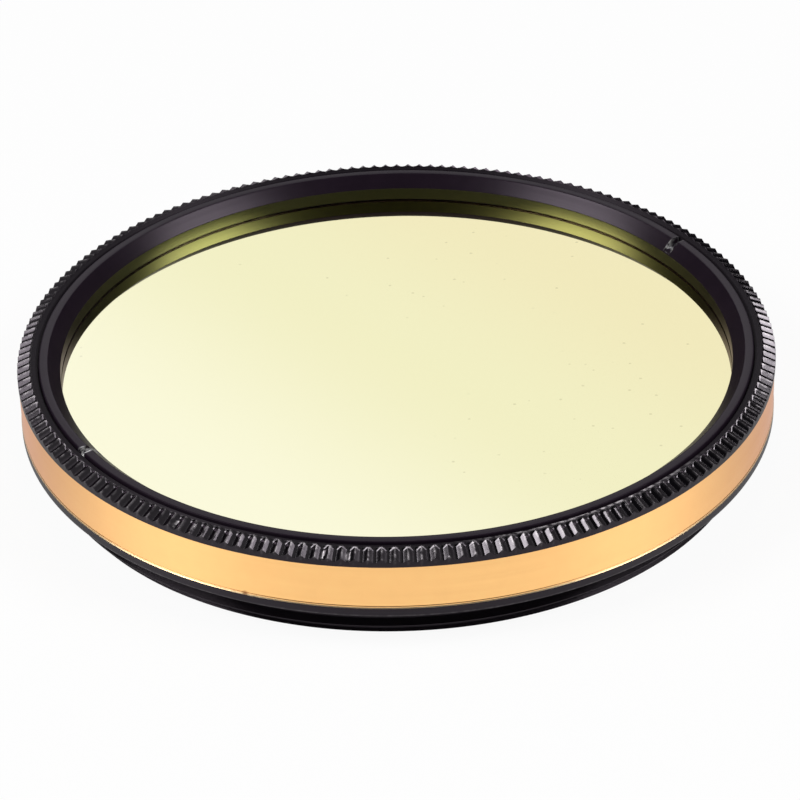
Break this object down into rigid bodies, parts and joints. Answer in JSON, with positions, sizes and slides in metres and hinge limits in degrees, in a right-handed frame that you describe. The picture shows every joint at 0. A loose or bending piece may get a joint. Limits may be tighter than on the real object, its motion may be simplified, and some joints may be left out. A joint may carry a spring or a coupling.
{
  "type": "optical bandpass filter",
  "caption": "Round coated glass filter in a thin metal cell with a fluted rim, a copper-coloured band and a male filter thread, held in by a notched retaining ring.",
  "frame": {"origin": "centre of the end face of the male thread, on the optical axis", "axes": "+Z along the optical axis from the male thread towards the retaining ring; the male thread leaves its mate along -Z; X and Y lie in the plane of the glass, with the spanner notches 32 degrees from X"},
  "size_m": [0.0508, 0.0508, 0.007],
  "materials": {
    "black_anodised": "satin black anodised, with a copper-coloured turned band round the outside",
    "coated_glass": "polished glass with a mirror-like pale cream interference coating",
    "ring_anodised": "satin black anodised, bare metal on the edges of the notches"
  },
  "bodies": {
    "root": {"cell": "black_anodised", "filter_glass": "coated_glass", "retaining_ring": "ring_anodised"}
  },
  "joints": []
}
